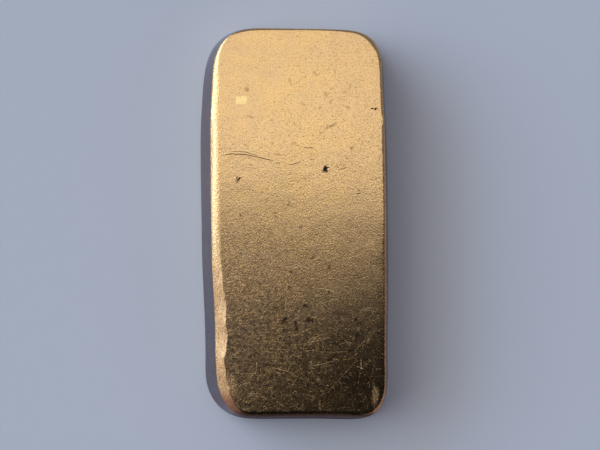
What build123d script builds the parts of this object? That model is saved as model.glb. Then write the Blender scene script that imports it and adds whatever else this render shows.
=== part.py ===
from build123d import *
import math
import os

# Small cast bar of yellow metal, poured in one piece in an open mould and lying
# with its wide pour side down. Millimetres. +X is across the bar, +Y along it,
# +Z up; the origin is the middle of the face that it lies on.

# ---- driving dimensions ----
LENGTH = 42.0          # over the widest section
WIDTH = 20.25          # over the widest section
HEIGHT = 6.85          # pour side to mould-bottom face
POUR_EDGE_R = 0.8      # rounded rim of the pour side, all the way round

# Stations round the widest section, clockwise from the left end of the far end:
# X and Y of the wall, its lean from upright in degrees (the bar narrows upwards),
# and how far inside the widest section the flat of the upper face begins. What
# the lean leaves of that distance is the rounded upper edge. The mould was worn:
# no two plan corners match, the long sides bulge a little, the left side steps in
# by about 0.2 mm below its middle, and the upper edge is broad along the left
# side, wavy in that side's near half, and nearly sharp at the far end.
STATION_SPAN = (20.248, 41.990)  # width and length of the outline through the stations
STATIONS = [
    (-9.53, 16.74, 8.0, 1.50), (-9.16, 17.96, 8.0, 1.28), (-8.68, 18.88, 8.0, 1.14),
    (-8.06, 19.61, 8.0, 1.06), (-7.31, 20.19, 8.2, 1.08), (-6.42, 20.61, 8.4, 1.16),
    (-5.31, 20.89, 8.6, 1.20), (-3.75, 20.99, 8.6, 1.19), (-1.04, 20.98, 8.6, 1.13),
    (2.32, 20.96, 8.6, 1.12), (4.83, 20.91, 8.8, 1.20), (6.22, 20.77, 9.0, 1.29),
    (7.19, 20.48, 9.2, 1.41), (7.96, 20.06, 9.4, 1.52), (8.57, 19.51, 9.5, 1.57),
    (9.05, 18.81, 9.5, 1.54), (9.39, 17.94, 9.4, 1.44), (9.58, 16.75, 9.3, 1.35),
    (9.68, 14.64, 9.3, 1.32), (9.85, 11.28, 9.3, 1.35), (9.96, 7.88, 9.3, 1.38),
    (10.03, 4.40, 9.3, 1.36), (10.08, 0.85, 9.3, 1.36), (10.11, -2.70, 9.3, 1.38),
    (10.12, -6.20, 9.3, 1.34), (10.10, -9.68, 9.3, 1.29), (10.06, -13.24, 9.3, 1.26),
    (10.08, -16.03, 9.3, 1.26), (10.00, -17.61, 9.4, 1.31), (9.77, -18.70, 9.6, 1.47),
    (9.42, -19.51, 9.8, 1.63), (8.93, -20.13, 10.0, 1.65), (8.28, -20.58, 10.2, 1.52),
    (7.43, -20.87, 10.4, 1.50), (6.30, -20.99, 10.6, 1.60), (4.45, -20.96, 10.8, 1.69),
    (1.10, -20.89, 10.8, 1.69), (-2.33, -20.88, 10.6, 1.68), (-4.59, -20.83, 10.3, 1.61),
    (-5.92, -20.66, 10.1, 1.56), (-6.91, -20.33, 10.3, 1.66), (-7.72, -19.84, 11.2, 1.88),
    (-8.38, -19.21, 12.2, 2.04), (-8.91, -18.44, 12.8, 2.18), (-9.31, -17.50, 12.8, 2.28),
    (-9.54, -16.31, 12.5, 2.29), (-9.61, -14.95, 11.8, 2.17), (-9.61, -13.60, 11.1, 2.04),
    (-9.62, -12.45, 11.1, 2.17), (-9.645, -11.10, 11.3, 2.33), (-9.68, -9.85, 11.3, 2.24),
    (-9.72, -8.70, 11.3, 2.33), (-9.765, -7.75, 11.2, 2.28), (-9.81, -6.80, 11.0, 2.14),
    (-9.91, -4.75, 10.6, 2.06), (-9.98, -2.20, 10.4, 2.02), (-10.03, 0.60, 10.5, 2.06),
    (-10.09, 3.60, 10.8, 2.12), (-10.12, 6.40, 11.0, 2.15), (-10.11, 9.26, 10.8, 2.12),
    (-9.99, 12.37, 10.2, 2.02), (-9.80, 15.00, 9.2, 1.82),
]
SPLITS = [8, 21, 36, 55]  # stations, one on each side, where the wall is divided
RIM_LEVELS = 5            # levels round the rim of the pour side
EDGE_LEVELS = 6           # levels round the upper edge

wide, long = WIDTH / STATION_SPAN[0], LENGTH / STATION_SPAN[1]
STATIONS = [(x * wide, y * long, math.radians(lean), inset) for x, y, lean, inset in STATIONS]
count = len(STATIONS)


def outward(i):
    """Unit normal of the outline at station i, from the circle through it and its neighbours."""
    (ax, ay), (bx, by), (cx, cy) = STATIONS[i - 1][:2], STATIONS[i][:2], STATIONS[(i + 1) % count][:2]
    la, lc = math.hypot(bx - ax, by - ay), math.hypot(cx - bx, cy - by)
    tx = (bx - ax) / la * lc + (cx - bx) / lc * la
    ty = (by - ay) / la * lc + (cy - by) / lc * la
    size = math.hypot(tx, ty)
    return -ty / size, tx / size


def profile(lean, flat_in):
    """Inset and height of each level at a station, from the base flat to the upper flat."""
    points = []
    for k in range(RIM_LEVELS):
        a = -math.pi / 2 + (math.pi / 2 + lean) * k / (RIM_LEVELS - 1)
        points.append((POUR_EDGE_R * (1 - math.cos(a)), POUR_EDGE_R * (1 + math.sin(a))))
    low_in, low_z = points[-1]
    left = flat_in - low_in - (HEIGHT - low_z) * math.tan(lean)
    radius = left / (math.cos(lean) - (1 - math.sin(lean)) * math.tan(lean))
    for k in range(EDGE_LEVELS):
        a = lean + (math.pi / 2 - lean) * k / (EDGE_LEVELS - 1)
        points.append((flat_in - radius * math.cos(a), HEIGHT - radius + radius * math.sin(a)))
    return points


normals = [outward(i) for i in range(count)]
columns = [profile(lean, flat_in) for _, _, lean, flat_in in STATIONS]


def level(k):
    """Closed outline of the bar at level k, as four splines that run on smoothly into each other."""
    points = []
    for (x, y, _, _), (nx, ny), column in zip(STATIONS, normals, columns):
        inset, z = column[k]
        points.append(Vector(x - nx * inset, y - ny * inset, z))

    def heading(i):
        before, here, after = points[i - 1], points[i], points[(i + 1) % count]
        la, lc = (here - before).length, (after - here).length
        return ((here - before) * (lc / la) + (after - here) * (la / lc)).normalized()

    edges = []
    for start, end in zip(SPLITS, SPLITS[1:] + [SPLITS[0] + count]):
        run = [i % count for i in range(start, end + 1)]
        # the same parameter at a station on every level keeps the levels in step
        steps = [0.0]
        for i, j in zip(run, run[1:]):
            steps.append(steps[-1] + math.dist(STATIONS[i][:2], STATIONS[j][:2]))
        edges.append(
            Edge.make_spline(
                [points[i] for i in run], tangents=[heading(run[0]), heading(run[-1])], parameters=steps
            )
        )
    return Wire(edges)


# ---- the casting: one solid, closed by its two flat faces ----
outlines = [level(k) for k in range(RIM_LEVELS + EDGE_LEVELS)]
rim = Shell.make_loft(outlines[:RIM_LEVELS])
wall = Shell.make_loft(outlines[RIM_LEVELS - 1 : RIM_LEVELS + 1], ruled=True)
upper_edge = Shell.make_loft(outlines[RIM_LEVELS:])
base = Face(outlines[0])
top = Face(outlines[-1])
ingot = Solid(Shell(rim.faces() + wall.faces() + upper_edge.faces() + [base, top]))
box = ingot.bounding_box()
ingot = ingot.translate(Vector(-(box.min.X + box.max.X) / 2, -(box.min.Y + box.max.Y) / 2, -box.min.Z))
ingot.label = "ingot"

box = ingot.bounding_box()
print("ingot", [round(v, 3) for v in (box.size.X, box.size.Y, box.size.Z)], "volume", round(ingot.volume, 1))

os.makedirs("parts", exist_ok=True)
export_step(ingot, "parts/ingot.step")
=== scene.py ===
"""Looks of the small cast bar of yellow metal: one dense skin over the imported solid, on a plain pale floor.

The skin repeats the station table of the solid in millimetres, and takes away from it what wear, pouring and
handling took from the real bar: the flat worn along the near half of the left edge, pits, dents, scratches and
ripples. Nothing is added outside the solid's box. Scene units are metres.
"""

import math

import bpy
import numpy as np
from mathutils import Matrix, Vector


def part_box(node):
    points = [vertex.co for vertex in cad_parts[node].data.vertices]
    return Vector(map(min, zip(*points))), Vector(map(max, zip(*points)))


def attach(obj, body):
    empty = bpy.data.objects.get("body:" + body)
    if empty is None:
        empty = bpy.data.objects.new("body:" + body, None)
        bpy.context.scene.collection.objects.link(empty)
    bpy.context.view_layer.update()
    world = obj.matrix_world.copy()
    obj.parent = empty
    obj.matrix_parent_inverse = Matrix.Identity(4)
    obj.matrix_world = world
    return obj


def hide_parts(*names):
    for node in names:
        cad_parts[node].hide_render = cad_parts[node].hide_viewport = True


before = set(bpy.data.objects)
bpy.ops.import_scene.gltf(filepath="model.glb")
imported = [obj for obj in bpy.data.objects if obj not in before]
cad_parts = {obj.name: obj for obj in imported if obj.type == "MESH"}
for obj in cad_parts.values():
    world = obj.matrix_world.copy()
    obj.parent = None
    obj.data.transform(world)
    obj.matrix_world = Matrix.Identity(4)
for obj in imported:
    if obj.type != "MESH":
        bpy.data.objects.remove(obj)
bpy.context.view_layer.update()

# ------------------------------------------------------------------------------------------------------------
# The solid's own table (millimetres, degrees): X, Y, lean of the wall, distance in to the flat of the face
# ------------------------------------------------------------------------------------------------------------
HEIGHT = 6.85
POUR_EDGE_R = 0.8
SPAN = (20.248, 41.990)
SIZE = (20.25, 42.0)
STATIONS = np.array([
    (-9.53, 16.74, 8.0, 1.50), (-9.16, 17.96, 8.0, 1.28), (-8.68, 18.88, 8.0, 1.14),
    (-8.06, 19.61, 8.0, 1.06), (-7.31, 20.19, 8.2, 1.08), (-6.42, 20.61, 8.4, 1.16),
    (-5.31, 20.89, 8.6, 1.20), (-3.75, 20.99, 8.6, 1.19), (-1.04, 20.98, 8.6, 1.13),
    (2.32, 20.96, 8.6, 1.12), (4.83, 20.91, 8.8, 1.20), (6.22, 20.77, 9.0, 1.29),
    (7.19, 20.48, 9.2, 1.41), (7.96, 20.06, 9.4, 1.52), (8.57, 19.51, 9.5, 1.57),
    (9.05, 18.81, 9.5, 1.54), (9.39, 17.94, 9.4, 1.44), (9.58, 16.75, 9.3, 1.35),
    (9.68, 14.64, 9.3, 1.32), (9.85, 11.28, 9.3, 1.35), (9.96, 7.88, 9.3, 1.38),
    (10.03, 4.40, 9.3, 1.36), (10.08, 0.85, 9.3, 1.36), (10.11, -2.70, 9.3, 1.38),
    (10.12, -6.20, 9.3, 1.34), (10.10, -9.68, 9.3, 1.29), (10.06, -13.24, 9.3, 1.26),
    (10.08, -16.03, 9.3, 1.26), (10.00, -17.61, 9.4, 1.31), (9.77, -18.70, 9.6, 1.47),
    (9.42, -19.51, 9.8, 1.63), (8.93, -20.13, 10.0, 1.65), (8.28, -20.58, 10.2, 1.52),
    (7.43, -20.87, 10.4, 1.50), (6.30, -20.99, 10.6, 1.60), (4.45, -20.96, 10.8, 1.69),
    (1.10, -20.89, 10.8, 1.69), (-2.33, -20.88, 10.6, 1.68), (-4.59, -20.83, 10.3, 1.61),
    (-5.92, -20.66, 10.1, 1.56), (-6.91, -20.33, 10.3, 1.66), (-7.72, -19.84, 11.2, 1.88),
    (-8.38, -19.21, 12.2, 2.04), (-8.91, -18.44, 12.8, 2.18), (-9.31, -17.50, 12.8, 2.28),
    (-9.54, -16.31, 12.5, 2.29), (-9.61, -14.95, 11.8, 2.17), (-9.61, -13.60, 11.1, 2.04),
    (-9.62, -12.45, 11.1, 2.17), (-9.645, -11.10, 11.3, 2.33), (-9.68, -9.85, 11.3, 2.24),
    (-9.72, -8.70, 11.3, 2.33), (-9.765, -7.75, 11.2, 2.28), (-9.81, -6.80, 11.0, 2.14),
    (-9.91, -4.75, 10.6, 2.06), (-9.98, -2.20, 10.4, 2.02), (-10.03, 0.60, 10.5, 2.06),
    (-10.09, 3.60, 10.8, 2.12), (-10.12, 6.40, 11.0, 2.15), (-10.11, 9.26, 10.8, 2.12),
    (-9.99, 12.37, 10.2, 2.02), (-9.80, 15.00, 9.2, 1.82),
])
STATIONS[:, 0] *= SIZE[0] / SPAN[0]
STATIONS[:, 1] *= SIZE[1] / SPAN[1]
STATIONS[:, 2] = np.radians(STATIONS[:, 2])

# The worn flat along the near half of the left edge ends at the face in a sharp, uneven line: Y, X
WORN_LINE = np.array([
    (-18.93, -6.13), (-18.31, -6.50), (-17.93, -6.83), (-17.15, -7.02), (-16.47, -7.22), (-15.85, -7.38),
    (-14.93, -7.46), (-14.01, -7.61), (-13.65, -7.65), (-13.40, -7.49), (-12.89, -7.41), (-12.17, -7.35),
    (-11.87, -7.26), (-11.36, -7.27), (-10.84, -7.32), (-10.33, -7.48), (-9.62, -7.41), (-7.98, -7.41),
    (-7.78, -7.55), (-7.06, -7.55), (-6.75, -7.71), (-5.73, -7.77), (-4.71, -7.84), (-3.89, -7.90),
    (-2.66, -7.96),
])
# The far half of the left edge is rounded, tighter at its foot. For each Y: how far outside the face's flat
# the surface leans 80, 66, 54 and 42 degrees from upright
LEFT_EDGE = np.array([
    (20.5, 0.07, 0.30, 0.52, 0.82), (16.8, 0.10, 0.37, 0.65, 0.94), (14.0, 0.12, 0.46, 0.78, 1.00),
    (12.4, 0.12, 0.52, 0.90, 1.02), (10.9, 0.12, 0.54, 0.92, 1.03), (10.2, 0.10, 0.47, 0.74, 1.05),
    (9.2, 0.10, 0.44, 0.68, 1.03), (6.0, 0.10, 0.46, 0.69, 1.02), (3.0, 0.10, 0.48, 0.80, 1.02),
    (0.0, 0.09, 0.46, 0.84, 1.01), (-3.0, 0.08, 0.46, 0.82, 1.00), (-7.0, 0.08, 0.46, 0.82, 1.00),
])
KNOT_ANGLES = np.radians([80.0, 66.0, 54.0, 42.0])
FLAT_KNOTS = np.radians([66.0, 62.0, 59.5, 56.0])  # the same knots on the worn flat


# ------------------------------------------------------------------------------------------------------------
# Small tools
# ------------------------------------------------------------------------------------------------------------
def smooth(x, a, b):
    """0 below a, 1 above b, smooth between. Works with a > b too."""
    t = np.clip((np.asarray(x, float) - a) / (b - a), 0.0, 1.0)
    return t * t * (3 - 2 * t)


def lattice(seed):
    rng = np.random.default_rng(seed)
    way = rng.normal(size=(256, 3))
    return rng.permutation(256), way / np.linalg.norm(way, axis=1)[:, None]


def noise(p, seed):
    """Gradient noise of points p (n, 3), about -0.7 to 0.7, one cell a unit."""
    order, way = lattice(seed)
    base = np.floor(p).astype(int)
    f = p - base
    w = f * f * f * (f * (f * 6 - 15) + 10)
    total = np.zeros(len(p))
    for dx in (0, 1):
        for dy in (0, 1):
            for dz in (0, 1):
                cell = order[(base[:, 0] + dx) & 255]
                cell = order[(cell + base[:, 1] + dy) & 255]
                cell = order[(cell + base[:, 2] + dz) & 255]
                g = way[cell]
                dot = g[:, 0] * (f[:, 0] - dx) + g[:, 1] * (f[:, 1] - dy) + g[:, 2] * (f[:, 2] - dz)
                wx = w[:, 0] if dx else 1 - w[:, 0]
                wy = w[:, 1] if dy else 1 - w[:, 1]
                wz = w[:, 2] if dz else 1 - w[:, 2]
                total += dot * wx * wy * wz
    return total


def ring_spline(at, values, total):
    """Closed cubic spline through values (n, k) at parameters at (n,). Returns f(s) -> (value, slope)."""
    n = len(at)
    h = np.diff(np.append(at, total))
    a = np.zeros((n, n))
    rhs = np.zeros(values.shape)
    for i in range(n):
        before, after = h[i - 1], h[i]
        a[i, i - 1] += before / 6
        a[i, i] += (before + after) / 3
        a[i, (i + 1) % n] += after / 6
        rhs[i] = (values[(i + 1) % n] - values[i]) / after - (values[i] - values[i - 1]) / before
    bend = np.linalg.solve(a, rhs)

    def f(s):
        s = np.mod(s, total)
        i = np.clip(np.searchsorted(at, s, side="right") - 1, 0, n - 1)
        j = (i + 1) % n
        t, span = (s - at[i]), h[i]
        p, q = (span - t)[:, None], t[:, None]
        k = span[:, None]
        value = (
            bend[i] * p**3 / (6 * k) + bend[j] * q**3 / (6 * k)
            + (values[i] / k - bend[i] * k / 6) * p + (values[j] / k - bend[j] * k / 6) * q
        )
        slope = (
            -bend[i] * p**2 / (2 * k) + bend[j] * q**2 / (2 * k)
            - (values[i] / k - bend[i] * k / 6) + (values[j] / k - bend[j] * k / 6)
        )
        return value, slope

    return f


# ------------------------------------------------------------------------------------------------------------
# Rings of the skin
# ------------------------------------------------------------------------------------------------------------
chord = np.hypot(*(np.roll(STATIONS[:, :2], -1, 0) - STATIONS[:, :2]).T)
LONG_WAY = float(chord.sum())
outline = ring_spline(np.concatenate([[0.0], np.cumsum(chord)[:-1]]), STATIONS, LONG_WAY)


def foot(s):
    """Outline point, outward normal, lean and distance in to the flat, at ring parameters s."""
    value, slope = outline(s)
    t = slope[:, :2] / np.linalg.norm(slope[:, :2], axis=1)[:, None]
    return value[:, :2], np.stack([-t[:, 1], t[:, 0]], 1), value[:, 2], value[:, 3].copy()


def worn_weight(point, normal):
    """How much the edge is the worn flat: 1 along the near half of the left edge and round its corner."""
    way = np.degrees(np.arctan2(normal[:, 1], normal[:, 0])) % 360
    along = smooth(point[:, 1], -2.0, -6.5)
    return along * smooth(way, 150, 170) * smooth(way, 262, 240)


def left_weight(point, normal):
    way = np.degrees(np.arctan2(normal[:, 1], normal[:, 0])) % 360
    return smooth(way, 118, 145) * smooth(way, 215, 195)


def flat_distance(s):
    """Distance in to the flat of the face, with the worn flat's uneven line."""
    point, normal, lean, flat_in = foot(s)
    x_line = np.interp(point[:, 1], WORN_LINE[:, 0], WORN_LINE[:, 1])
    # along the left side the normal is nearly -X, so the line's X gives the distance in
    there = (x_line - point[:, 0]) / np.maximum(-normal[:, 0], 0.5)
    w = smooth(point[:, 1], -17.6, -16.9) * smooth(point[:, 1], -1.2, -3.2) * (normal[:, 0] < -0.5)
    teeth = 0.05 * noise(np.stack([point[:, 1] * 2.7, point[:, 1] * 0 + 3.3, point[:, 1] * 0], 1), 5)
    teeth += 0.035 * noise(np.stack([point[:, 1] * 6.1, point[:, 1] * 0 + 7.3, point[:, 1] * 0], 1), 6)
    return flat_in * (1 - w) + there * w + teeth * worn_weight(point, normal)


STEP = 0.14  # spacing of the skin on the face

dense = np.linspace(0, LONG_WAY, 12001)[:-1]
point, normal, lean, flat_in = foot(dense)
flat_line = point - normal * flat_in[:, None]
run = np.concatenate([[0.0], np.cumsum(np.linalg.norm(np.diff(np.vstack([flat_line, flat_line[:1]]), axis=0), axis=1))])
way = np.degrees(np.arctan2(normal[:, 1], normal[:, 0])) % 360


def corner(azimuth, x_sign, y_sign):
    """Index in dense where the outward normal points diagonally out of a corner."""
    off = np.abs((way - azimuth + 180) % 360 - 180)
    off[(point[:, 0] * x_sign < 5) | (point[:, 1] * y_sign < 12)] = 999
    return int(np.argmin(off))


CORNERS = [corner(135, -1, 1), corner(45, 1, 1), corner(315, 1, -1), corner(225, -1, -1)]  # clockwise
TOTAL_RUN = run[-1]
sides = []
for a, b in zip(CORNERS, CORNERS[1:] + CORNERS[:1]):
    sides.append((run[b] - run[a]) % TOTAL_RUN)
NU = 2 * round((sides[0] + sides[2]) / 2 / STEP / 2)
NV = 2 * round((sides[1] + sides[3]) / 2 / STEP / 2)
s_all = []
for k, n in enumerate((NU, NV, NU, NV)):
    want = (run[CORNERS[k]] + sides[k] * np.arange(n) / n) % TOTAL_RUN
    s_all.append(np.interp(want, run, np.append(dense, LONG_WAY)))
RING = np.concatenate(s_all)  # ring parameters, clockwise from the far left corner
N = len(RING)

point, normal, lean, _ = foot(RING)
flat_in = flat_distance(RING)
WORN, LEFT = worn_weight(point, normal), left_weight(point, normal)
WAY = np.degrees(np.arctan2(normal[:, 1], normal[:, 0])) % 360

# only the line at the face is uneven: the flat below it runs on smoothly
spread = np.arange(-14, 15)
bell = np.exp(-((spread * STEP / 0.7) ** 2))
even_in = sum(np.roll(flat_in, k) * b for k, b in zip(spread, bell)) / bell.sum()
even_in = flat_in * (1 - WORN) + even_in * WORN
jag = flat_in - even_in
flat_in = even_in
right_side = smooth(np.abs((WAY + 180) % 360 - 180), 40, 15)
swell = np.exp(-(((point[:, 1] - 10.8) / 0.55) ** 2))
along = np.stack([point[:, 1], np.zeros(N), np.full(N, 4.4)], 1)
jag += right_side * (0.07 * noise(along * 1.1, 7) + 0.07 * noise(along * 3.1, 8) - 0.07 * swell)
flat_in -= right_side * 0.08 * swell

# knots of the upper edge: angle of the normal above level, and distance out from the flat's line
low_in = POUR_EDGE_R * (1 - np.cos(lean))
low_z = POUR_EDGE_R * (1 + np.sin(lean))
room = flat_in - low_in - (HEIGHT - low_z) * np.tan(lean)
radius = room / (np.cos(lean) - (1 - np.sin(lean)) * np.tan(lean))
out_arc = radius[:, None] * np.cos(KNOT_ANGLES)[None]
out_left = np.stack([np.interp(point[:, 1], LEFT_EDGE[::-1, 0], LEFT_EDGE[::-1, k]) for k in (1, 2, 3, 4)], 1)
out_left *= (radius / 1.17)[:, None]
wide = radius * 0.97
out_worn = np.stack([wide * 0.045, wide * 0.22, wide * 0.55, wide * 0.86], 1)
w_left = (LEFT * (1 - WORN))[:, None]
w_worn = WORN[:, None]
out_knots = out_arc * (1 - w_left - w_worn) + out_left * w_left + out_worn * w_worn
angle_knots = KNOT_ANGLES[None] * (1 - w_worn) + FLAT_KNOTS[None] * w_worn

SPLIT = (3, 4, 3, 4, 4)  # steps between the flat's line, the four knots and the wall


def edge_profile():
    """Inset and height of the upper edge's levels, from the flat's line out and down to the wall."""
    inset, z = [flat_in.copy()], [np.full(N, HEIGHT)]
    a0, x0, z0 = np.full(N, math.pi / 2), flat_in.copy(), np.full(N, HEIGHT)
    for k in range(4):
        a1, x1 = angle_knots[:, k], flat_in - out_knots[:, k]
        steps = SPLIT[k]
        fine = 8 * steps
        xs, zs, a = x0.copy(), z0.copy(), a0.copy()
        for i in range(1, fine + 1):
            a_next = a0 + (a1 - a0) * i / fine
            dx = (x0 - x1) / fine
            zs = zs - dx / np.tan((a + a_next) / 2)
            xs = xs - dx
            a = a_next
            if i % 8 == 0:
                inset.append(xs.copy())
                z.append(zs.copy())
        a0, x0, z0 = a1, x1, zs
    cx, cz = np.cos(lean) - np.cos(a0), np.sin(a0) - np.sin(lean)
    rho = (x0 - low_in - (z0 - low_z) * np.tan(lean)) / (cx - cz * np.tan(lean))
    rho = np.maximum(rho, 0.02)
    for i in range(1, SPLIT[4] + 1):
        a = a0 + (lean - a0) * i / SPLIT[4]
        inset.append(x0 - rho * (np.cos(a) - np.cos(a0)))
        z.append(z0 - rho * (np.sin(a0) - np.sin(a)))
    for level in range(7):
        inset[level] = inset[level] + jag * min(1.0, (7 - level) / 4)
    return inset, z, rho


edge_in, edge_z, rho = edge_profile()
print("foot radius of the edge", round(float(rho.min()), 3), round(float(rho.max()), 3), "ring", N, NU, NV)


class Skin:
    def __init__(self):
        self.co, self.faces, self.count = [], [], 0

    def add(self, points):
        first = self.count
        self.co.append(np.asarray(points, float))
        self.count += len(points)
        return first + np.arange(len(points))


skin = Skin()
# parts of the bar: 0 face, 1 upper edge, 2 wall, 3 rim, 4 base


def ring_points(pick, inset, z):
    p = point[pick] - normal[pick] * inset[pick, None]
    return np.column_stack([p, z[pick]])


def normals_of(pick, angle):
    return np.column_stack([normal[pick] * np.cos(angle)[:, None], np.sin(angle)])


every = np.arange(N)
half = np.arange(0, N, 2)
rings = []
for inset, z in zip(edge_in, edge_z):
    rings.append((skin.add(ring_points(every, inset, z)), 1))
WALL_FINE, WALL_COARSE = 8, 20
top_in, top_z = edge_in[-1], edge_z[-1]
FINE_SHARE = 0.22
for k in range(1, WALL_FINE + 1):
    t = FINE_SHARE * k / WALL_FINE
    rings.append((skin.add(ring_points(every, top_in + (low_in - top_in) * t, top_z + (low_z - top_z) * t)), 2))
coarse_from = len(rings)
for k in range(1, WALL_COARSE + 1):
    t = FINE_SHARE + (1 - FINE_SHARE) * k / WALL_COARSE
    rings.append((skin.add(ring_points(half, top_in + (low_in - top_in) * t, top_z + (low_z - top_z) * t)), 2))
RIM = 7
for k in range(1, RIM + 1):
    a = lean + (-math.pi / 2 - lean) * k / RIM
    rings.append((skin.add(ring_points(half, POUR_EDGE_R * (1 - np.cos(a)), POUR_EDGE_R * (1 + np.sin(a)))), 3))

quads, tris = [], []
for (upper, _), (lower, _) in zip(rings, rings[1:]):
    if len(upper) == len(lower):
        quads.append(np.column_stack([upper, np.roll(upper, -1), np.roll(lower, -1), lower]))
    else:  # two steps above meet one below
        u0, u1, u2 = upper[0::2], upper[1::2], np.roll(upper[0::2], -1)
        l0, l1 = lower, np.roll(lower, -1)
        tris += [np.column_stack([u0, u1, l0]), np.column_stack([u1, l1, l0]), np.column_stack([u1, u2, l1])]


def relaxed(ring_xy, nu, nv, rounds):
    """A grid of (nv + 1, nu + 1) points with the ring as its border, first row along the ring's first side."""
    top, right = ring_xy[: nu + 1], ring_xy[nu : nu + nv + 1]
    bottom = ring_xy[nu + nv : 2 * nu + nv + 1][::-1]
    left = np.vstack([ring_xy[2 * nu + nv :], ring_xy[:1]])[::-1]
    u = np.linspace(0, 1, nu + 1)[None, :, None]
    v = np.linspace(0, 1, nv + 1)[:, None, None]
    g = (1 - v) * top[None] + v * bottom[None] + (1 - u) * left[:, None] + u * right[:, None]
    g -= (1 - v) * ((1 - u) * top[0] + u * top[-1]) + v * ((1 - u) * bottom[0] + u * bottom[-1])
    for _ in range(rounds):
        g[1:-1, 1:-1] = (g[:-2, 1:-1] + g[2:, 1:-1] + g[1:-1, :-2] + g[1:-1, 2:]) / 4
    return g


def grid_ids(ring_ids, nu, nv, inner_ids):
    ids = np.zeros((nv + 1, nu + 1), int)
    ids[0, :] = ring_ids[: nu + 1]
    ids[:, -1] = ring_ids[nu : nu + nv + 1]
    ids[-1, ::-1] = ring_ids[nu + nv : 2 * nu + nv + 1]
    ids[::-1, 0] = np.append(ring_ids[2 * nu + nv :], ring_ids[0])
    ids[1:-1, 1:-1] = inner_ids.reshape(nv - 1, nu - 1)
    return ids


face_ring = rings[0][0]
face_grid = relaxed(skin.co[0][:, :2], NU, NV, 500)
inner = face_grid[1:-1, 1:-1].reshape(-1, 2)
face_ids = grid_ids(face_ring, NU, NV, skin.add(np.column_stack([inner, np.full(len(inner), HEIGHT)])))
face_quads = np.stack([face_ids[:-1, :-1], face_ids[1:, :-1], face_ids[1:, 1:], face_ids[:-1, 1:]], -1).reshape(-1, 4)

base_ring = rings[-1][0]
base_xy = skin.co[len(rings) - 1][:, :2]
base_grid = relaxed(base_xy, NU // 2, NV // 2, 300)
inner = base_grid[1:-1, 1:-1].reshape(-1, 2)
base_ids = grid_ids(base_ring, NU // 2, NV // 2, skin.add(np.column_stack([inner, np.zeros(len(inner))])))
base_quads = np.stack([base_ids[:-1, :-1], base_ids[:-1, 1:], base_ids[1:, 1:], base_ids[1:, :-1]], -1).reshape(-1, 4)

co = np.vstack(skin.co)
unrolled = co[:, :2].copy()  # the face and its edge laid flat, and how far round and down the rest is
down = np.concatenate([[np.zeros(N)], np.cumsum(np.hypot(np.diff(edge_in, axis=0), np.diff(edge_z, axis=0)), 0)])
for k, drop in enumerate(down):
    unrolled[rings[k][0]] = point - normal * (flat_in - drop)[:, None]
below = np.full((len(co), 2), np.nan)
for k in range(len(edge_in) - 1, len(rings)):
    ids = rings[k][0]
    pick = every if len(ids) == N else half
    if k == len(edge_in) - 1:
        drop = np.zeros(N)
    else:
        upper = rings[k - 1][0]
        step = co[ids] - co[upper if len(upper) == len(ids) else upper[::2]]
        drop = (drop if len(drop) == len(ids) else drop[::2]) + np.linalg.norm(step, axis=1)
    below[ids] = np.column_stack([pick, drop])
out = np.zeros_like(co)  # the outward way at each vertex
kind = np.zeros(len(co), int)
worn = np.zeros(len(co))
for (ids, k) in rings:
    kind[ids] = k
    pick = every if len(ids) == N else half
    worn[ids] = WORN[pick]
    out[ids, :2] = normal[pick]
kind[face_ids[1:-1, 1:-1]] = 0
kind[base_ids[1:-1, 1:-1]] = 4

# outward ways on the rings, from their neighbours above and below
for k, (ids, _) in enumerate(rings):
    pick = every if len(ids) == N else half
    if k == 0:
        out[ids] = (0, 0, 1)
        continue
    if k == len(rings) - 1:
        out[ids] = (0, 0, -1)
        continue
    up, down = rings[k - 1][0], rings[k + 1][0]
    if len(up) > len(ids):
        up = up[::2]
    if len(down) < len(ids):
        out[ids] = out[rings[k - 1][0]]
        continue
    rise = co[up] - co[down]
    inward = -(rise[:, :2] * normal[pick]).sum(1)
    size = np.hypot(inward, rise[:, 2])
    out[ids] = np.column_stack([normal[pick] * (rise[:, 2] / size)[:, None], inward / size])
out[face_ids[1:-1, 1:-1]] = (0, 0, 1)
out[base_ids[1:-1, 1:-1]] = (0, 0, -1)

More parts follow.
